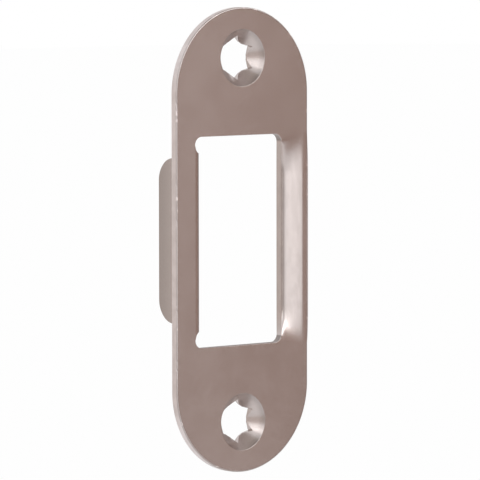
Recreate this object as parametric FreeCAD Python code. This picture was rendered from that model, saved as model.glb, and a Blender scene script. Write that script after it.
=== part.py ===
import FreeCAD, Part
import math
import os

# Door strike plate: one blank of sheet metal, pierced, folded and pressed.
# Millimetres. +Z runs up the plate, +Y goes back into the door frame, and
# +X points to the side that the latch slides in from. The origin is midway
# between the throats of the two screw seats, just behind the back face.

Vector = FreeCAD.Vector
LENGTHWISE = Vector(0, 0, 1)
CROSSWISE = Vector(1, 0, 0)
BACKWARDS = Vector(0, 1, 0)

# Blank
plate_width = 25.0
plate_length = 68.4
sheet = 1.1
edge_roll = 0.3

# Latch slot
slot_height = 30.9
slot_right_x = 7.4
slot_corner = 1.2
slot_roll = 0.3

# Stop tab, folded back from the left side of the slot
tab_face_x = -7.6
tab_depth = 8.85
tab_tip_height = 23.1
tab_corner = 2.7
fold_inside_radius = 0.3
relief_radius = 1.2

# Lead-in ramp, pressed into the strip at the right of the slot
ramp_rim = 1.0
ramp_drop = 0.95
ramp_crown = 0.35
ramp_full_height = 20.6
ramp_crown_height = 24.4
ramp_pull = 0.8
ramp_swell = 0.2
ramp_roll = 0.8
ramp_stations = 8

# Screw seats, dimpled through the sheet
screw_spacing = 53.6
screw_hole_radius = 2.5
seat_rim_radius = 4.25
seat_wall = 0.7
seat_back_height = 1.15
throat_length = 0.3
petal_count = 6
petal_gap_reach = 3.3
petal_gap_width = 0.62

# Worked out from the sizes above
full_turn = 360.0
tolerance = sheet / 1000
seat_end_y = throat_length / 2
back_y = seat_end_y - seat_back_height
front_y = back_y - sheet
half_width = plate_width / 2
end_radius = half_width
end_centre_z = plate_length / 2 - end_radius
slot_top_z = slot_height / 2
fold_outside_radius = fold_inside_radius + sheet
fold_start_x = tab_face_x - fold_outside_radius
tab_back_x = tab_face_x - sheet
relief_centre_x = fold_start_x + relief_radius
relief_centre_z = slot_top_z - relief_radius
tab_root_z = relief_centre_z - relief_radius
tab_end_y = front_y + tab_depth
ramp_end_z = slot_top_z - slot_corner
ramp_full_z = ramp_full_height / 2
ramp_crown_z = ramp_crown_height / 2
ramp_fold_x = half_width - ramp_rim
throat_y = seat_end_y - throat_length
seat_half_angle = math.atan((seat_rim_radius - screw_hole_radius) / (throat_y - front_y))


def closed_face(edges):
    return Part.Face(Part.Wire(edges))


def line(start, end):
    return Part.makeLine(start, end)


def polygon(corners):
    return closed_face([line(a, b) for a, b in zip(corners, corners[1:] + corners[:1])])


def arc(start, through, end):
    return Part.Arc(start, through, end).toShape()


def curve(poles):
    bezier = Part.BezierCurve()
    bezier.setPoles(poles)
    return bezier.toShape()


def on_front(x, z):
    return Vector(x, front_y, z)


def turned_solid(points):
    """Solid turned about the +Y axis from a half-section of radius and depth."""
    half = polygon([Vector(radius, y, 0) for radius, y in points])
    return half.revolve(Vector(0, 0, 0), BACKWARDS, full_turn)


def front_edges(shape, wanted):
    """Edges whose whole run lies on the front face and passes the test."""
    found = []
    for edge in shape.Edges:
        box = edge.BoundBox
        flat = abs(box.YMin - front_y) < tolerance and abs(box.YMax - front_y) < tolerance
        if flat and wanted(box):
            found.append(edge)
    return found


def any_edge(box):
    return True


def blank():
    """Flat blank with half-round ends, its front edge rolled over by the press."""
    top_right = on_front(half_width, end_centre_z)
    top_left = on_front(-half_width, end_centre_z)
    bottom_left = on_front(-half_width, -end_centre_z)
    bottom_right = on_front(half_width, -end_centre_z)
    outline = closed_face([
        arc(top_right, on_front(0, end_centre_z + end_radius), top_left),
        line(top_left, bottom_left),
        arc(bottom_left, on_front(0, -end_centre_z - end_radius), bottom_right),
        line(bottom_right, top_right),
    ])
    body = outline.extrude(BACKWARDS * sheet)
    return body.makeFillet(edge_roll, front_edges(body, any_edge))


def slot_cutter():
    """Latch slot as pierced: square on the fold side, rounded on the ramp side."""
    bend = slot_corner * (1 - math.sqrt(0.5))
    right = slot_right_x
    left = relief_centre_x
    top = slot_top_z
    outline = closed_face([
        line(on_front(left, top), on_front(right - slot_corner, top)),
        arc(on_front(right - slot_corner, top), on_front(right - bend, top - bend),
            on_front(right, top - slot_corner)),
        line(on_front(right, top - slot_corner), on_front(right, slot_corner - top)),
        arc(on_front(right, slot_corner - top), on_front(right - bend, bend - top),
            on_front(right - slot_corner, -top)),
        line(on_front(right - slot_corner, -top), on_front(left, -top)),
        line(on_front(left, -top), on_front(left, top)),
    ])
    return outline.extrude(BACKWARDS * sheet)


def pierce_slot(plate):
    """Cuts the slot and rolls its front edge, all round but for the fold side."""
    pierced = plate.cut(slot_cutter())

    def belongs(box):
        inside = box.XMax < slot_right_x + edge_roll and box.XMin > fold_start_x
        upright_on_fold_side = box.XMax < relief_centre_x + edge_roll
        return inside and not upright_on_fold_side

    return pierced.makeFillet(slot_roll, front_edges(pierced, belongs))


def relief_cutter():
    """Clears the slot up to the fold line, with a round relief in each corner."""
    depth = BACKWARDS * sheet
    gap = Part.makeBox(relief_radius, sheet, 2 * relief_centre_z, on_front(fold_start_x, -relief_centre_z))
    top = Part.makeCylinder(relief_radius, sheet, on_front(relief_centre_x, relief_centre_z), depth)
    bottom = Part.makeCylinder(relief_radius, sheet, on_front(relief_centre_x, -relief_centre_z), depth)
    return gap.fuse([top, bottom])


def tab_fold():
    """Quarter bend that carries the tab, trimmed round by the two reliefs."""
    through_sheet = polygon([
        Vector(fold_start_x, front_y, -relief_centre_z),
        Vector(fold_start_x, back_y, -relief_centre_z),
        Vector(fold_start_x, back_y, relief_centre_z),
        Vector(fold_start_x, front_y, relief_centre_z),
    ])
    bend_axis = Vector(fold_start_x, back_y + fold_inside_radius, 0)
    bend = through_sheet.revolve(bend_axis, LENGTHWISE, full_turn / 4)
    cutters = []
    for side in (1, -1):
        centre_z = side * relief_centre_z
        face_on = Vector(relief_centre_x, front_y, centre_z)
        side_on = Vector(fold_start_x, back_y, centre_z)
        cutters.append(Part.makeCylinder(relief_radius, 2 * fold_outside_radius, face_on, BACKWARDS))
        cutters.append(Part.makeCylinder(relief_radius, fold_outside_radius, side_on, CROSSWISE))
    return bend.cut(cutters)


def tab_leaf():
    """Flat of the tab: tapered from its root, with two rounded free corners."""
    start_y = back_y + fold_inside_radius
    tip_z = tab_tip_height / 2

    def at(y, z):
        return Vector(tab_back_x, y, z)

    outline = polygon([
        at(start_y, -tab_root_z),
        at(start_y, tab_root_z),
        at(tab_end_y, tip_z),
        at(tab_end_y, -tip_z),
    ])
    leaf = outline.extrude(CROSSWISE * sheet)
    return leaf.makeFillet(tab_corner, [edge for edge in leaf.Edges if free_corner(edge)])


def free_corner(edge):
    """True for the short edge through the sheet at a free corner of the tab."""
    middle = edge.CenterOfMass
    at_end = abs(middle.y - tab_end_y) < tolerance
    return at_end and abs(abs(middle.z) - tab_tip_height / 2) < tolerance


def ramp_share(z, full_z):
    """How much of the full ramp is pressed at this height: creased at 0, eased into 1."""
    run = (ramp_end_z - abs(z)) / (ramp_end_z - full_z)
    run = min(max(run, 0.0), 1.0)
    return run * (2 - run)


def ramp_section(z):
    """Cross-section of the ramp strip at one height, as a closed wire."""
    share = ramp_share(z, ramp_full_z)
    drop = ramp_drop * share
    crown_drop = ramp_drop * ramp_crown * ramp_share(z, ramp_crown_z)
    inner_x = slot_right_x + ramp_pull * share
    outer_x = half_width + ramp_swell * share
    roll = slot_roll + (ramp_roll - slot_roll) * share

    def at(x, y):
        return Vector(x, y, z)

    # The front falls from the fold to the slot, steeper as it goes, and the
    # back follows it one sheet behind. Towards both ends the part beside the
    # fold keeps its fall for longer than the part beside the slot.
    fold = at(ramp_fold_x, front_y)
    crown = at((ramp_fold_x + inner_x) / 2, front_y + crown_drop)
    corner = at(inner_x, front_y + drop)
    thickness = BACKWARDS * sheet

    # The front corner at the slot is rolled over to a round.
    slope = math.atan2(corner.y - crown.y, crown.x - corner.x)
    centre = corner + Vector(roll, roll * (1 - math.sin(slope)) / math.cos(slope), 0)
    to_front = Vector(-math.sin(slope), -math.cos(slope), 0)
    to_slot = Vector(-1, 0, 0)
    to_middle = (to_front + to_slot).normalize()
    rolled_front = centre + to_front * roll
    rolled_slot = centre + to_slot * roll

    rim_bend = edge_roll * (1 - math.sqrt(0.5))
    rim_front = at(outer_x - edge_roll, front_y)
    rim_side = at(outer_x, front_y + edge_roll)
    return Part.Wire([
        line(rim_side, at(outer_x, back_y)),
        line(at(outer_x, back_y), fold + thickness),
        curve([fold + thickness, crown + thickness, corner + thickness]),
        line(corner + thickness, rolled_slot),
        arc(rolled_slot, centre + to_middle * roll, rolled_front),
        curve([rolled_front, crown, fold]),
        line(fold, rim_front),
        arc(rim_front, at(outer_x - rim_bend, front_y + rim_bend), rim_side),
    ])


def ramp_strip():
    """Strip beside the slot, flat at both ends and pressed back between them."""
    step = (ramp_end_z - ramp_full_z) / ramp_stations
    eased = [ramp_full_z + step * i for i in range(ramp_stations + 1)]
    upper = [ramp_full_z / 3, ramp_full_z * 2 / 3] + eased
    heights = [-z for z in reversed(upper)] + [0.0] + upper
    return Part.makeLoft([ramp_section(z) for z in heights], True)


def press_ramp(plate):
    """Puts the pressed strip in the place of the flat one."""
    depth = half_width - slot_right_x + slot_roll
    flat_strip = Part.makeBox(depth, sheet, 2 * ramp_end_z, on_front(slot_right_x, -ramp_end_z))
    return plate.cut(flat_strip).fuse(ramp_strip())


def seat_radius(y):
    """Radius of the countersink at one depth."""
    return seat_rim_radius - (y - front_y) * math.tan(seat_half_angle)


def seat_dimple():
    """Metal pushed out behind the sheet round one screw hole."""
    wall = seat_wall / math.cos(seat_half_angle)
    return turned_solid([
        (0, front_y + edge_roll),
        (seat_radius(front_y + edge_roll) + wall, front_y + edge_roll),
        (seat_radius(seat_end_y) + wall, seat_end_y),
        (0, seat_end_y),
    ])


def seat_cutter():
    """Countersink and throat of one seat."""
    return turned_solid([
        (0, front_y),
        (seat_rim_radius, front_y),
        (screw_hole_radius, throat_y),
        (screw_hole_radius, seat_end_y),
        (0, seat_end_y),
    ])


def petal_gaps():
    """Splits that part the end of one dimple into petals, widest at the middle."""
    flare = petal_gap_width / 2 / (petal_gap_reach - screw_hole_radius)
    wedge = polygon([
        on_front(0, petal_gap_reach),
        on_front(-petal_gap_reach * flare, 0),
        on_front(petal_gap_reach * flare, 0),
    ])
    gap = wedge.extrude(BACKWARDS * (seat_end_y - front_y))
    gaps = []
    for index in range(petal_count):
        turned = gap.copy()
        turned.rotate(Vector(0, 0, 0), BACKWARDS, index * full_turn / petal_count)
        gaps.append(turned)
    return gaps


def press_screw_seats(plate):
    """Dimples and pierces the plate at both screw places."""
    for side in (1, -1):
        place = Vector(0, 0, side * screw_spacing / 2)
        dimple = seat_dimple().translated(place)
        cutters = [seat_cutter().translated(place)] + [gap.translated(place) for gap in petal_gaps()]
        plate = plate.fuse(dimple).cut(cutters)
    return plate


def strike_plate():
    plate = pierce_slot(blank())
    plate = plate.cut(relief_cutter())
    plate = press_ramp(plate)
    plate = plate.fuse([tab_fold(), tab_leaf()])
    plate = press_screw_seats(plate)
    return plate.removeSplitter()


os.makedirs("parts", exist_ok=True)
strike_plate().exportStep("parts/strike_plate.step")
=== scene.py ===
import math
import bmesh
import bpy
from mathutils import Matrix, Vector


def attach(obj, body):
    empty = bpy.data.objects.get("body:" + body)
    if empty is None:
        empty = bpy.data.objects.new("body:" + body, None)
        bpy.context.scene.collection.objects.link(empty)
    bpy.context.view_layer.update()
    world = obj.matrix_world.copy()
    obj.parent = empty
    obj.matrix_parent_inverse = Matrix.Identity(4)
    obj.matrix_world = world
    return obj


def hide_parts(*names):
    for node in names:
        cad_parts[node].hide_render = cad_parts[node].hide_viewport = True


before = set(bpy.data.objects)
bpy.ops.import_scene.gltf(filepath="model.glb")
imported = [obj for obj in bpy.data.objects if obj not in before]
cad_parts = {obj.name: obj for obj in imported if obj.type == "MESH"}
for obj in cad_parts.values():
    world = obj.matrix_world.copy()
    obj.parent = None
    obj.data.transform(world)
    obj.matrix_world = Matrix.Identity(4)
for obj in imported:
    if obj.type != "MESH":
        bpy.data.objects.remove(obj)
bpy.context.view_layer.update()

# Sizes of the plate, in metres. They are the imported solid's, apart from the
# finer rolls, the ramp's softer ends and lip, the seats' splits and the nicks.
MM = 0.001
HALF_WIDTH = 12.5 * MM
HALF_LENGTH = 34.2 * MM
SHEET = 1.1 * MM
BACK_Y = -1.0 * MM
FRONT_Y = BACK_Y - SHEET
END_CENTRE_Z = HALF_LENGTH - HALF_WIDTH
EDGE_ROLL = 0.2 * MM

# Slot for the latch, and the stop tab folded back from its left side.
SLOT_HALF_HEIGHT = 15.45 * MM
SLOT_RIGHT_X = 7.4 * MM
SLOT_CORNER = 1.2 * MM
SLOT_ROLL = 0.06 * MM
TAB_FACE_X = -7.6 * MM
FOLD_INSIDE_RADIUS = 0.3 * MM
FOLD_X = TAB_FACE_X - FOLD_INSIDE_RADIUS - SHEET
RELIEF_RADIUS = 1.2 * MM
RELIEF_X = FOLD_X + RELIEF_RADIUS
RELIEF_Z = SLOT_HALF_HEIGHT - RELIEF_RADIUS
TAB_ROOT_HALF_HEIGHT = RELIEF_Z - RELIEF_RADIUS
TAB_TIP_HALF_HEIGHT = 11.55 * MM
TAB_END_Y = FRONT_Y + 8.85 * MM
TAB_CORNER = 2.7 * MM

# Lead-in ramp, pressed into the strip at the right of the slot. The crown is
# a share of the drop. The ends are eased by a power, softer at the top.
RAMP_FOLD_X = HALF_WIDTH - 1.0 * MM
RAMP_WIDTH = RAMP_FOLD_X - SLOT_RIGHT_X
RAMP_DROP = 0.77 * MM
RAMP_CROWN = 0.32
RAMP_PULL = 0.8 * MM
RAMP_SWELL = 0.2 * MM
RAMP_FULL_Z = 9.6 * MM
RAMP_CROWN_Z = 11.2 * MM
RAMP_END_Z = SLOT_HALF_HEIGHT - SLOT_CORNER
RAMP_SLANT = 1.5 * MM
RAMP_LOW_EXTRA = 0.5 * MM
RAMP_TOP_EASE = 1.5
RAMP_LOW_EASE = 2.5
RAMP_CREASE = 0.08 * MM
RAMP_LIP = 0.9 * MM
RAMP_LIP_DROP = 0.2 * MM
RAMP_LIP_POWER = 4

# Screw seats, dimpled through the sheet and split into petals.
SCREW_Z = 26.8 * MM
SEAT_RIM_RADIUS = 4.2 * MM
SEAT_THROAT_RADIUS = 2.5 * MM
SEAT_THROAT_Y = -0.05 * MM
SEAT_SLOPE = (SEAT_RIM_RADIUS - SEAT_THROAT_RADIUS) / (SEAT_THROAT_Y - FRONT_Y)
SEAT_END_Y = 0.22 * MM
SEAT_WALL = 0.7 * MM
SEAT_LIP = 0.04 * MM
PETALS = 6
PETAL_SPLIT_RADIUS = 3.25 * MM
PETAL_SPLIT_INNER = 2.38 * MM
PUNCH_LENGTH = 4 * SHEET

# Nicks in the left front edge: their heights, and the round tool that makes
# them, its middle this far out past both faces of the edge.
NICK_HEIGHTS = (20.4 * MM, 8.6 * MM, 3.4 * MM, -9.7 * MM, -17.0 * MM, -18.3 * MM)
NICK_RADIUS = 0.6 * MM
NICK_REACH = 0.31 * MM

# Steps of the round forms, and rows of the ramp's grid.
ROUND_STEPS = 192
SEAT_STEPS = 96
ROLL_STEPS = 5
FOLD_STEPS = 10
SLOT_CORNER_STEPS = 16
RELIEF_STEPS = 20
TAB_CORNER_STEPS = 20
RAMP_ROWS = 6
RAMP_END_ROWS = 10
RAMP_SLANT_ROWS = 4
RAMP_LIP_ROWS = 9

# Angles, and how near counts as the same way or the same place.
QUARTER_TURN = math.pi / 2
SHARP_ANGLE = math.radians(40)
SMOOTH_ANGLE = math.radians(30)
SQUARE_ON = 0.99
SAME_PLACE = 0.02 * MM
HAIR = 0.01 * MM
WELD = 0.002 * MM


# Bench work: picking, cutting and joining.

def clear_selection():
    if bpy.context.object and bpy.context.object.mode != "OBJECT":
        bpy.ops.object.mode_set(mode="OBJECT")
    bpy.ops.object.select_all(action="DESELECT")


def take(piece):
    clear_selection()
    piece.select_set(True)
    bpy.context.view_layer.objects.active = piece


def settle(name):
    """Names the primitive just added and puts its place into its mesh."""
    piece = bpy.context.object
    piece.name = piece.data.name = name
    bpy.ops.object.transform_apply(location=True, rotation=True, scale=True)
    return piece


def pick(piece, kind, wanted):
    """Goes to edit mode with only the wanted verts, edges or faces selected."""
    if bpy.context.object is not piece or piece.mode != "EDIT":
        take(piece)
        bpy.ops.object.mode_set(mode="EDIT")
    bpy.context.tool_settings.mesh_select_mode = (kind == "verts", kind == "edges", kind == "faces")
    mesh = bmesh.from_edit_mesh(piece.data)
    for group in (mesh.verts, mesh.edges, mesh.faces):
        for item in group:
            item.select_set(False)
    count = 0
    for item in getattr(mesh, kind):
        if wanted(item):
            item.select_set(True)
            count += 1
    mesh.select_flush_mode()
    bmesh.update_edit_mesh(piece.data)
    return count


def middle(item):
    return sum((v.co for v in item.verts), Vector()) / len(item.verts)


def near(a, b):
    return abs(a - b) < SAME_PLACE


def share_of_one(value):
    return min(max(value, 0.0), 1.0)


def finish_modifier(piece, kind, **settings):
    take(piece)
    modifier = piece.modifiers.new(kind.lower(), kind)
    for name, value in settings.items():
        setattr(modifier, name, value)
    bpy.ops.object.modifier_apply(modifier=modifier.name)


def combine(piece, tool, operation):
    """Cuts the tool out of the piece, or joins it on, and clears the tool away."""
    finish_modifier(piece, "BOOLEAN", object=tool, operation=operation, solver="EXACT")
    bpy.data.objects.remove(tool)


def block(name, low, high):
    """Square tool between two corners."""
    clear_selection()
    size = [b - a for a, b in zip(low, high)]
    centre = [(a + b) / 2 for a, b in zip(low, high)]
    bpy.ops.mesh.primitive_cube_add(size=1, location=centre, scale=size)
    return settle(name)


def punch(name, radius, centre_z, steps):
    """Round tool through the sheet at one height on the middle line."""
    clear_selection()
    bpy.ops.mesh.primitive_cylinder_add(vertices=steps, radius=radius, depth=PUNCH_LENGTH,
                                        location=(0, SEAT_END_Y, centre_z),
                                        rotation=(QUARTER_TURN, 0, 0))
    return settle(name)


# The plate.

def blank():
    """Stadium-shaped blank: a half circle, its turned copy, and the two straight sides."""
    clear_selection()
    bpy.ops.mesh.primitive_circle_add(vertices=ROUND_STEPS, radius=HALF_WIDTH,
                                      location=(0, FRONT_Y, 0), rotation=(QUARTER_TURN, 0, 0))
    plate = settle("strike_plate_finished")
    pick(plate, "verts", lambda v: v.co.z < -HAIR)
    bpy.ops.mesh.delete(type="VERT")
    pick(plate, "verts", lambda v: True)
    bpy.ops.transform.translate(value=(0, 0, END_CENTRE_Z))
    bpy.ops.mesh.duplicate()
    bpy.ops.transform.rotate(value=math.pi, orient_axis="Y", center_override=(0, 0, 0))
    for side in (1, -1):
        pick(plate, "verts", lambda v: near(v.co.x, side * HALF_WIDTH)
             and near(abs(v.co.z), END_CENTRE_Z))
        bpy.ops.mesh.edge_face_add()
    pick(plate, "edges", lambda e: True)
    bpy.ops.mesh.edge_face_add()
    pick(plate, "faces", lambda f: True)
    bpy.ops.mesh.extrude_region_move(TRANSFORM_OT_translate={"value": (0, SHEET, 0)})
    pick(plate, "faces", lambda f: True)
    bpy.ops.mesh.normals_make_consistent(inside=False)
    roll_front_edges(plate, EDGE_ROLL, lambda x, z: True)
    bpy.ops.object.mode_set(mode="OBJECT")
    return plate


def roll_front_edges(plate, radius, wanted):
    """Rolls over those sharp edges of the front face whose middles pass the test."""
    def sharp_front(e):
        at = middle(e)
        flat = all(near(v.co.y, FRONT_Y) for v in e.verts)
        return flat and e.calc_face_angle(0) > SHARP_ANGLE and wanted(at.x, at.z)

    pick(plate, "edges", sharp_front)
    bpy.ops.mesh.bevel(offset=radius, segments=ROLL_STEPS, affect="EDGES")


def pierce_slot(plate):
    """Cuts the slot and the gap before the tab's bend in one stroke.

    The bend reliefs are the round left corners of the same cut.
    """
    slot = block("slot_punch", (FOLD_X, FRONT_Y - SHEET, -SLOT_HALF_HEIGHT),
                 (SLOT_RIGHT_X, BACK_Y + SHEET, SLOT_HALF_HEIGHT))
    for x, radius, steps in ((SLOT_RIGHT_X, SLOT_CORNER, SLOT_CORNER_STEPS),
                             (FOLD_X, RELIEF_RADIUS, RELIEF_STEPS)):
        pick(slot, "edges", lambda e: near(middle(e).y, (FRONT_Y + BACK_Y) / 2)
             and near(middle(e).x, x))
        bpy.ops.mesh.bevel(offset=radius, segments=steps, affect="EDGES")
    combine(plate, slot, "DIFFERENCE")
    roll_front_edges(plate, SLOT_ROLL,
                     lambda x, z: x > RELIEF_X and abs(z) < SLOT_HALF_HEIGHT + SLOT_ROLL)
    bpy.ops.object.mode_set(mode="OBJECT")


def score(plate, place, normal, wanted):
    """Adds a line of edges where a plane crosses the wanted faces."""
    if pick(plate, "faces", wanted):
        bpy.ops.mesh.bisect(plane_co=place, plane_no=normal)


def eased(z, full_z, run):
    """How much of the ramp is pressed at this height: creased at 0, eased into 1.

    The ends slant out to the fold, and the lower one reaches further.
    """
    end_z = RAMP_END_Z + RAMP_SLANT * (1 - share_of_one(run))
    if z < 0:
        end_z += RAMP_LOW_EXTRA
    rise = share_of_one((end_z - abs(z)) / (end_z - full_z))
    return 1 - (1 - rise) ** (RAMP_TOP_EASE if z > 0 else RAMP_LOW_EASE)


def ramp_slope(run, z):
    """Share of the drop at a run from the fold (0) to the slot (1), on a slope that steepens."""
    crown = 2 * run * (1 - run) * RAMP_CROWN * eased(z, RAMP_CROWN_Z, run)
    return crown + run * run * eased(z, RAMP_FULL_Z, run)


def lip_share(run, z):
    """Share of the lip's drop, rolled over ever faster towards the slot."""
    across = share_of_one((run * RAMP_WIDTH - RAMP_WIDTH + RAMP_LIP) / RAMP_LIP)
    return across ** RAMP_LIP_POWER * eased(z, RAMP_FULL_Z, run)


def score_ramp(plate, reach):
    """Scores the strip beside the slot into a grid that can be pressed."""
    def beside_slot(f):
        return middle(f).x > SLOT_RIGHT_X - HAIR

    end_rise = RAMP_END_Z - RAMP_FULL_Z
    upper = [RAMP_FULL_Z + end_rise * i / RAMP_END_ROWS for i in range(RAMP_END_ROWS + 1)]
    upper += [RAMP_END_Z + RAMP_SLANT * i / RAMP_SLANT_ROWS for i in range(1, RAMP_SLANT_ROWS + 1)]
    upper += [RAMP_FULL_Z * i / RAMP_ROWS for i in range(1, RAMP_ROWS)]
    score(plate, (SLOT_RIGHT_X, 0, 0), (1, 0, 0), lambda f: True)
    for z in [0.0] + upper + [-z for z in upper]:
        score(plate, (0, 0, z), (0, 0, 1), beside_slot)
    slope_width = RAMP_WIDTH - RAMP_LIP
    columns = [RAMP_FOLD_X + RAMP_CREASE, RAMP_FOLD_X - RAMP_CREASE]
    columns += [RAMP_FOLD_X - slope_width * i / RAMP_ROWS for i in range(1, RAMP_ROWS + 1)]
    columns += [SLOT_RIGHT_X + RAMP_LIP * i / RAMP_LIP_ROWS for i in range(1, RAMP_LIP_ROWS)]
    for x in columns:
        score(plate, (x, 0, 0), (1, 0, 0), lambda f: beside_slot(f) and abs(middle(f).z) < reach)
    bpy.ops.object.mode_set(mode="OBJECT")


def press_ramp(plate):
    """Presses the strip back, rolls its lip over, and draws both its edges outwards."""
    reach = RAMP_END_Z + RAMP_SLANT
    score_ramp(plate, reach)
    pulls = {"ramp_drop": ("Y", RAMP_DROP), "lip_drop": ("Y", RAMP_LIP_DROP),
             "ramp_pull": ("X", RAMP_PULL), "rim_swell": ("X", RAMP_SWELL)}
    for name in pulls:
        plate.vertex_groups.new(name=name)
    drop, lip, pull, swell = (plate.vertex_groups[name] for name in pulls)
    for v in plate.data.vertices:
        run = (RAMP_FOLD_X - v.co.x) / RAMP_WIDTH
        if v.co.x < SLOT_RIGHT_X - HAIR or abs(v.co.z) > reach:
            continue
        share = eased(v.co.z, RAMP_FULL_Z, run)
        if run > 0:
            drop.add([v.index], min(ramp_slope(run, v.co.z), 1.0), "REPLACE")
            lip.add([v.index], lip_share(run, v.co.z), "REPLACE")
            pull.add([v.index], share * run, "REPLACE")
        else:
            across_rim = (v.co.x - RAMP_FOLD_X) / (HALF_WIDTH - RAMP_FOLD_X)
            swell.add([v.index], share * across_rim, "REPLACE")
    for name, (direction, strength) in pulls.items():
        finish_modifier(plate, "DISPLACE", vertex_group=name, direction=direction,
                        strength=strength, mid_level=0)


def fold_tab(plate):
    """Turns the tab back round the fold, draws it out and rounds its free corners."""
    pick(plate, "faces", lambda f: near(middle(f).x, FOLD_X) and f.normal.x > SQUARE_ON
         and abs(middle(f).z) < RELIEF_Z)
    bend_y = BACK_Y + FOLD_INSIDE_RADIUS
    half_height = RELIEF_Z
    for step in range(FOLD_STEPS):
        bpy.ops.mesh.extrude_region_move(TRANSFORM_OT_translate={"value": (0, 0, 0)})
        bpy.ops.transform.rotate(value=-QUARTER_TURN / FOLD_STEPS, orient_axis="Z",
                                 center_override=(FOLD_X, bend_y, 0))
        # Over the first half of the bend, the tab follows the round reliefs.
        along = (step + 1) / FOLD_STEPS * 2 * RELIEF_RADIUS
        trimmed = TAB_ROOT_HALF_HEIGHT
        if along <= RELIEF_RADIUS:
            trimmed = RELIEF_Z - math.sqrt(RELIEF_RADIUS ** 2 - (along - RELIEF_RADIUS) ** 2)
        bpy.ops.transform.resize(value=(1, 1, trimmed / half_height), center_override=(0, 0, 0))
        half_height = trimmed
    bpy.ops.mesh.extrude_region_move(TRANSFORM_OT_translate={"value": (0, TAB_END_Y - bend_y, 0)})
    bpy.ops.transform.resize(value=(1, 1, TAB_TIP_HALF_HEIGHT / TAB_ROOT_HALF_HEIGHT),
                             center_override=(0, 0, 0))
    pick(plate, "edges", lambda e: near(middle(e).y, TAB_END_Y)
         and near(abs(middle(e).z), TAB_TIP_HALF_HEIGHT)
         and near(middle(e).x, TAB_FACE_X - SHEET / 2))
    bpy.ops.mesh.bevel(offset=TAB_CORNER, segments=TAB_CORNER_STEPS, affect="EDGES",
                       clamp_overlap=False)
    bpy.ops.object.mode_set(mode="OBJECT")


def seat_radius(y):
    """Radius of the countersink at one depth."""
    return SEAT_RIM_RADIUS - (y - FRONT_Y) * SEAT_SLOPE


def seat_cone(name, centre_z, front, back, spare):
    """Tapered round tool for a screw seat, wider than the countersink by the spare wall."""
    clear_selection()
    bpy.ops.mesh.primitive_cone_add(vertices=SEAT_STEPS, radius1=seat_radius(back) + spare,
                                    radius2=seat_radius(front) + spare, depth=back - front,
                                    location=(0, (front + back) / 2, centre_z),
                                    rotation=(QUARTER_TURN, 0, 0))
    return settle(name)


def star_punch(centre_z):
    """Six-pointed tool that parts the end of a dimple into petals."""
    star = punch("star_punch", PETAL_SPLIT_RADIUS, centre_z, 2 * PETALS)
    step = math.pi / PETALS

    def between_tips(v):
        turn = math.atan2(v.co.x, v.co.z - centre_z) / step
        return round(turn) % 2 == 1

    pick(star, "verts", between_tips)
    inward = PETAL_SPLIT_INNER / PETAL_SPLIT_RADIUS
    bpy.ops.transform.resize(value=(inward, 1, inward), center_override=(0, SEAT_END_Y, centre_z))
    bpy.ops.object.mode_set(mode="OBJECT")
    return star


def press_seats(plate):
    """Dimples, countersinks, pierces and splits the two screw seats."""
    wall = SEAT_WALL * math.sqrt(1 + SEAT_SLOPE ** 2)
    for centre_z in (SCREW_Z, -SCREW_Z):
        combine(plate, seat_cone("dimple", centre_z, FRONT_Y + EDGE_ROLL, SEAT_END_Y, wall),
                "UNION")
        combine(plate, seat_cone("countersink", centre_z, FRONT_Y - EDGE_ROLL, SEAT_THROAT_Y, 0),
                "DIFFERENCE")
        combine(plate, punch("throat_punch", SEAT_THROAT_RADIUS, centre_z, SEAT_STEPS),
                "DIFFERENCE")
        combine(plate, star_punch(centre_z), "DIFFERENCE")
        roll_front_edges(plate, SEAT_LIP,
                         lambda x, z: math.hypot(x, z - centre_z) < SEAT_RIM_RADIUS + SEAT_LIP)
        bpy.ops.object.mode_set(mode="OBJECT")


def nick_edge(plate):
    """Knocks the small dents of the photograph into the left front edge."""
    for height in NICK_HEIGHTS:
        clear_selection()
        bpy.ops.mesh.primitive_ico_sphere_add(
            subdivisions=3, radius=NICK_RADIUS,
            location=(-HALF_WIDTH - NICK_REACH, FRONT_Y - NICK_REACH, height))
        combine(plate, settle("nick_tool"), "DIFFERENCE")


def finish_plate(plate):
    """Closes stray seams and sets the shading."""
    pick(plate, "verts", lambda v: True)
    bpy.ops.mesh.remove_doubles(threshold=WELD)
    bpy.ops.mesh.dissolve_degenerate(threshold=WELD)
    bpy.ops.object.mode_set(mode="OBJECT")
    take(plate)
    bpy.ops.object.shade_smooth_by_angle(angle=SMOOTH_ANGLE)
    finish_modifier(plate, "WEIGHTED_NORMAL", mode="FACE_AREA", keep_sharp=True, weight=50)
    for group in list(plate.vertex_groups):
        plate.vertex_groups.remove(group)


def make_plate():
    plate = blank()
    press_seats(plate)
    pierce_slot(plate)
    fold_tab(plate)
    press_ramp(plate)
    nick_edge(plate)
    finish_plate(plate)
    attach(plate, "root")
    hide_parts("strike_plate")
    return plate


def compass(azimuth, elevation, distance):
    """Place round the plate: azimuth 0 is straight in front of it, 90 to its right."""
    a, e = math.radians(azimuth), math.radians(elevation)
    return Vector((math.sin(a) * math.cos(e), -math.cos(a) * math.cos(e), math.sin(e))) * distance


# Camera, worked out from the outline, slot and screw holes in the photograph.
CAMERA_AZIMUTH = -39.70
CAMERA_ELEVATION = 4.12
CAMERA_ROLL = math.radians(-0.073)
CAMERA_DISTANCE = 630.1 * MM
FOCAL_PIXELS = 4290.5
IMAGE_PIXELS = 480
SENSOR_WIDTH = 36
AIM_OFFSET_PIXELS = (2.9, -0.35)
CAMERA_RANGE = (0.05, 20)


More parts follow.
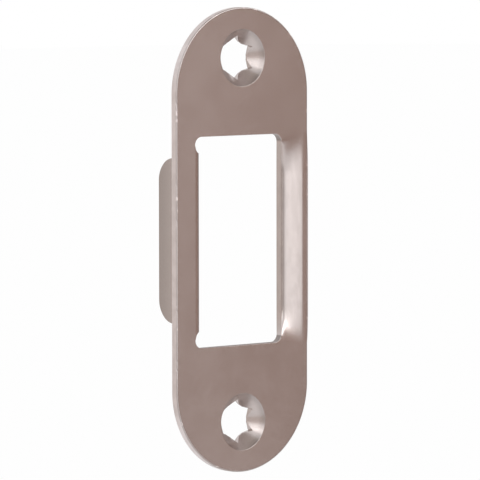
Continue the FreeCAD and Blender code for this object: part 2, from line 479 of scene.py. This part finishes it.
def add_camera():
    """Looks at the plate as the photograph does, moved aside by the aim's offset."""
    back = compass(CAMERA_AZIMUTH, CAMERA_ELEVATION, 1)
    right = (-back).cross(Vector((0, 0, 1))).normalized()
    up = right.cross(-back)
    turned_right = right * math.cos(CAMERA_ROLL) + up * math.sin(CAMERA_ROLL)
    turned_up = up * math.cos(CAMERA_ROLL) - right * math.sin(CAMERA_ROLL)
    pixel = CAMERA_DISTANCE / FOCAL_PIXELS
    aside, above = AIM_OFFSET_PIXELS
    place = (Vector((0, FRONT_Y, 0)) + back * CAMERA_DISTANCE
             - turned_right * aside * pixel - turned_up * above * pixel)
    data = bpy.data.cameras.new("photo_camera")
    data.sensor_width = SENSOR_WIDTH
    data.lens = FOCAL_PIXELS / IMAGE_PIXELS * SENSOR_WIDTH
    data.clip_start, data.clip_end = CAMERA_RANGE
    camera = bpy.data.objects.new("photo_camera", data)
    camera.matrix_world = Matrix((
        (turned_right.x, turned_up.x, back.x, place.x),
        (turned_right.y, turned_up.y, back.y, place.y),
        (turned_right.z, turned_up.z, back.z, place.z),
        (0, 0, 0, 1)))
    bpy.context.scene.collection.objects.link(camera)
    bpy.context.scene.camera = camera


class Wire:
    """One socket of a node tree, so that shader maths reads as plain sums."""

    def __init__(self, tree, socket=None):
        self.tree = tree
        self.socket = socket

    def add(self, kind, settings=None, inputs=None, out=0):
        """Adds a node: its settings first, then its sockets' values or links."""
        node = self.tree.nodes.new(kind)
        for name, value in (settings or {}).items():
            setattr(node, name, value)
        for name, value in (inputs or {}).items():
            if isinstance(value, Wire):
                self.tree.links.new(value.socket, node.inputs[name])
            else:
                node.inputs[name].default_value = value
        return Wire(self.tree, node.outputs[out] if node.outputs else None)

    def sum(self, operation, *values):
        return self.add("ShaderNodeMath", {"operation": operation}, dict(enumerate(values)))

    def __add__(self, other):
        return self.sum("ADD", self, other)

    def __radd__(self, other):
        return self.sum("ADD", other, self)

    def __sub__(self, other):
        return self.sum("SUBTRACT", self, other)

    def __rsub__(self, other):
        return self.sum("SUBTRACT", other, self)

    def __mul__(self, other):
        return self.sum("MULTIPLY", self, other)

    def __abs__(self):
        return self.sum("ABSOLUTE", self)

    def at_least(self, other):
        return self.sum("MAXIMUM", self, other)

    def reach(self, other):
        """Distance whose two legs are this wire and the other."""
        return self.sum("SQRT", self * self + other * other)

    def ramp(self, low, high):
        """Eased from 0 at the low value to 1 at the high one."""
        return self.add("ShaderNodeMapRange", {"interpolation_type": "SMOOTHSTEP"},
                        {"Value": self, "From Min": low, "From Max": high})

    def fall(self, low, high):
        """Eased from 1 at the low value to 0 at the high one."""
        return 1 - self.ramp(low, high)

    def noise(self, scale, detail, stretch=(1, 1, 1), offset=(0, 0, 0)):
        """Cloudy pattern on this wire's place, drawn out by the stretch."""
        place = self.add("ShaderNodeMapping", {},
                         {"Vector": self, "Scale": stretch, "Location": offset})
        return self.add("ShaderNodeTexNoise", {},
                        {"Vector": place, "Scale": scale, "Detail": detail})

    def mix(self, one, other):
        """Colour that goes from one to the other by this wire."""
        return self.add("ShaderNodeMix", {"data_type": "RGBA"},
                        {"Factor": self, "A": one, "B": other}, "Result")


# Finish of the metal, with painted shade.
METAL = (0.565, 0.502, 0.484, 1)
METAL_DULL = (0.546, 0.483, 0.465, 1)
METAL_BRIGHT = (0.780, 0.710, 0.700, 1)
# Dark colour mixed in for the painted shade and for the smudges.
METAL_SHADE_AND_SMUDGE = (0.300, 0.262, 0.250, 1)
FACE_ROUGHNESS = 0.25
EDGE_ROUGHNESS = 0.50
TONE_ROUGHNESS = 0.015
BUMP_STRENGTH = 0.03
BUMP_DEPTH = 0.02 * MM

# How strongly each mark turns the metal bright, or darker as painted shade or as smudges.
NICK_SHINE = 0.8
ROLL_SHADE = 0.5
SEAT_SHADE = 0.5
SMUDGE_SHADE = 0.13
TAB_SHADE = 0.62

# Places in the finish, in millimetres.
EDGE = HALF_WIDTH / MM
FRONT = FRONT_Y / MM
BACK = BACK_Y / MM
END_CENTRE = END_CENTRE_Z / MM
SLOT_END = SLOT_HALF_HEIGHT / MM
SLOT_RIGHT = SLOT_RIGHT_X / MM
RAMP_END = RAMP_END_Z / MM
RAMP_FULL = RAMP_FULL_Z / MM
RAMP_FOLD = RAMP_FOLD_X / MM
SCREW = SCREW_Z / MM
SEAT_RIM = SEAT_RIM_RADIUS / MM
TAB_START = 0.5
TAB_TIP = 8.5


def slot_end_shade(x, y, height):
    """Painted shade on the end walls and corners of the slot."""
    ends = height.ramp(RAMP_END - 0.1, RAMP_END + 0.4) * height.fall(SLOT_END, SLOT_END + 0.1)
    return ends * abs(x).fall(SLOT_RIGHT, SLOT_RIGHT + 0.1) * y.ramp(FRONT, FRONT + 0.15)


def roll_edge_shade(y, outward, nicks):
    """Painted shade along the rolled front edge, broken by the nicks."""
    roll = outward.ramp(EDGE - 0.3, EDGE - 0.2) * y.fall(FRONT + 0.1, FRONT + 0.22)
    return roll * (1 - nicks) * ROLL_SHADE


def seat_rim_shade(x, y, height):
    """Painted shade on the rim of each countersink, wider towards the ramp and only in front."""
    out = x.reach(height - SCREW)
    line = out.ramp(SEAT_RIM - 0.12, SEAT_RIM - 0.05)
    wide = out.ramp(SEAT_RIM - 0.75, SEAT_RIM - 0.05) * x.ramp(0.3, 2.8)
    rims = line.at_least(wide) * out.fall(SEAT_RIM + 0.02, SEAT_RIM + 0.08) * SEAT_SHADE
    return rims * y.fall(BACK - 0.25, BACK - 0.05)


def ramp_smudges(spot, x, height):
    """Faint smudges, drawn out along the pressed strip."""
    strip = x.ramp(SLOT_RIGHT, SLOT_RIGHT + 0.3) * x.fall(RAMP_FOLD - 0.4, RAMP_FOLD)
    patches = spot.noise(0.9, 4, (1, 1, 0.4), (2, 0, 9)).ramp(0.42, 0.62)
    return strip * height.fall(RAMP_FULL, RAMP_END) * patches * SMUDGE_SHADE


def satin_finish_with_painted_shade():
    """Satin nickel: faint clouds, fine rolled grain, rough sheared edges, nicks and smudges, and
    painted shade on the slot ends, tab, rolled edge and seat rims.
    """
    material = bpy.data.materials.new("satin_plate_with_painted_shade")
    material.use_nodes = True
    material.node_tree.nodes.clear()
    wire = Wire(material.node_tree)
    place = wire.add("ShaderNodeTexCoord", out="Object")
    spot = wire.add("ShaderNodeVectorMath", {"operation": "SCALE"}, {0: place, "Scale": 1 / MM})
    x, y, z = (wire.add("ShaderNodeSeparateXYZ", {}, {"Vector": spot}, axis) for axis in "XYZ")
    height = abs(z)
    outward = x.reach((height - END_CENTRE).at_least(0))

    clouds = spot.noise(0.22, 3)
    flecks = spot.noise(1.6, 4)
    grain = spot.noise(2.4, 2, (1, 1, 0.15))
    tone = (clouds * 0.6 + flecks * 0.4).ramp(0.35, 0.65)

    sheared = outward.ramp(EDGE - 0.22, EDGE - 0.05)
    mottle = spot.noise(0.5, 3, offset=(5, 0, 2)).ramp(0.35, 0.65)
    corner = outward.ramp(EDGE - 0.45, EDGE - 0.12) * y.fall(FRONT + 0.15, FRONT + 0.45)
    nicks = corner * spot.noise(1.1, 2, offset=(3, 0, 7)).ramp(0.60, 0.68)
    bright = (nicks * NICK_SHINE).at_least(sheared * (mottle * 0.35 + 0.65))
    colour = bright.mix(tone.mix(METAL_DULL, METAL), METAL_BRIGHT)

    # Painted shade on the slot's end walls, on the tab towards its tip, on the rolled edge and on
    # the seat rims; faint smudges on the ramp.
    shade_and_smudges = slot_end_shade(x, y, height).at_least(y.ramp(TAB_START, TAB_TIP) * TAB_SHADE)
    shade_and_smudges = shade_and_smudges.at_least(roll_edge_shade(y, outward, nicks)).at_least(seat_rim_shade(x, y, height))
    shade_and_smudges = shade_and_smudges.at_least(ramp_smudges(spot, x, height))
    colour = shade_and_smudges.mix(colour, METAL_SHADE_AND_SMUDGE)

    roughness = FACE_ROUGHNESS + (tone - 0.5) * TONE_ROUGHNESS
    roughness = roughness + sheared * (EDGE_ROUGHNESS - FACE_ROUGHNESS)
    bump = wire.add("ShaderNodeBump", {}, {
        "Height": grain * 0.6 + clouds * 0.4, "Strength": BUMP_STRENGTH, "Distance": BUMP_DEPTH},
        "Normal")
    shader = wire.add("ShaderNodeBsdfPrincipled", {}, {
        "Base Color": colour, "Roughness": roughness, "Metallic": 1.0, "Normal": bump})
    wire.add("ShaderNodeOutputMaterial", {}, {"Surface": shader})
    return material


# Studio: pale floor, white surroundings, even cards for the metal to mirror, and soft lamps.
FLOOR_Z = -480 * MM
FLOOR_REACH = 30.0
FLOOR_PAINT = (0.9, 0.9, 0.9, 1)
WHITE = (1, 1, 1, 1)
STUDIO_LEVEL = 0.85
SEEN_WHITE = 0.96
CARD_DISTANCE = 0.45

# Each card: name, azimuth, elevation, half width and half height in degrees, colour.
CARDS = (
    ("tan_card", 56, 2.5, 25, 19, (0.392, 0.279, 0.235, 1)),
    ("right_card", 112, -4, 30, 32, (0.38, 0.32, 0.30, 1)),
    ("low_right_card", 106, -52, 26, 18, (0.62, 0.58, 0.55, 1)),
    ("high_card", 50, 82, 36, 36, (0.52, 0.47, 0.44, 1)),
    ("low_card", 14, -42, 24, 14, (0.80, 0.70, 0.66, 1)),
    ("left_card", -98, -8, 40, 18, (0.87, 0.785, 0.74, 1)),
    ("back_card", -156, -6, 18, 20, (0.80, 0.77, 0.73, 1)),
    ("front_card", -37, -9, 21, 14, (0.55, 0.51, 0.48, 1)),
)

# Each lamp: name, azimuth and elevation in degrees, distance, width and height in metres, watts.
LAMPS = (
    ("soft_key", 13, 8, 1.3, (0.42, 0.72), 0.58),
    ("soft_side", 24, 13, 1.3, (0.34, 0.34), 0.78),
    ("soft_top", 34, 27, 1.3, (1.0, 0.8), 4.6),
    ("soft_fill", -46, 17, 0.6, (0.26, 0.38), 0.44),
)


def seen_directly(wire):
    """1 for what the camera, a reflection or a look through glass sees directly."""
    camera, glossy, transmission = (
        wire.add("ShaderNodeLightPath", out=name)
        for name in ("Is Camera Ray", "Is Glossy Ray", "Is Transmission Ray"))
    return camera.at_least(glossy).at_least(transmission)


def light_world():
    """White surroundings, seen at full strength and lighting at the studio's level."""
    world = bpy.data.worlds.new("studio")
    bpy.context.scene.world = world
    world.use_nodes = True
    world.node_tree.nodes.clear()
    wire = Wire(world.node_tree)
    strength = seen_directly(wire) * (1 - STUDIO_LEVEL) + STUDIO_LEVEL
    sky = wire.add("ShaderNodeBackground", {}, {"Color": WHITE, "Strength": strength})
    wire.add("ShaderNodeOutputWorld", {}, {"Surface": sky})


def paint(name, colour, seen, seen_colour):
    """Matt paint, of which the given share shows as a plain even colour."""
    material = bpy.data.materials.new(name)
    material.use_nodes = True
    material.node_tree.nodes.clear()
    wire = Wire(material.node_tree)
    matt = wire.add("ShaderNodeBsdfDiffuse", {}, {"Color": colour})
    plain = wire.add("ShaderNodeEmission", {}, {"Color": seen_colour, "Strength": 1.0})
    both = wire.add("ShaderNodeMixShader", {}, {0: seen_directly(wire) * seen, 1: matt, 2: plain})
    wire.add("ShaderNodeOutputMaterial", {}, {"Surface": both})
    return material


def lay_floor():
    clear_selection()
    bpy.ops.mesh.primitive_plane_add(size=FLOOR_REACH, location=(0, 0, FLOOR_Z))
    floor = settle("floor")
    floor.data.materials.append(paint("pale_floor", FLOOR_PAINT, SEEN_WHITE, WHITE))


def stand_card(name, azimuth, elevation, half_wide, half_high, colour):
    """Even-toned card that the plate mirrors, outside the picture."""
    place = compass(azimuth, elevation, CARD_DISTANCE)
    width, height = (2 * CARD_DISTANCE * math.tan(math.radians(half))
                     for half in (half_wide, half_high))
    clear_selection()
    bpy.ops.mesh.primitive_plane_add(size=1, location=place,
                                     rotation=place.to_track_quat("Z", "Y").to_euler())
    bpy.context.object.scale = (width, height, 1)
    card = settle(name)
    card.data.materials.append(paint(name, colour, 1.0, colour))
    card.visible_camera = False
    card.visible_shadow = False


def hang_lamp(name, azimuth, elevation, distance, size, power):
    """Soft lamp that faces the plate."""
    lamp = bpy.data.lights.new(name, "AREA")
    lamp.shape = "RECTANGLE"
    lamp.size, lamp.size_y = size
    lamp.energy = power
    hung = bpy.data.objects.new(name, lamp)
    place = compass(azimuth, elevation, distance)
    hung.location = place
    hung.rotation_mode = "QUATERNION"
    hung.rotation_quaternion = place.to_track_quat("Z", "Y")
    bpy.context.scene.collection.objects.link(hung)


plate = make_plate()
plate.data.materials.append(satin_finish_with_painted_shade())
lay_floor()
light_world()
for card in CARDS:
    stand_card(*card)
for lamp in LAMPS:
    hang_lamp(*lamp)
add_camera()
bpy.context.scene.view_settings.view_transform = "Standard"
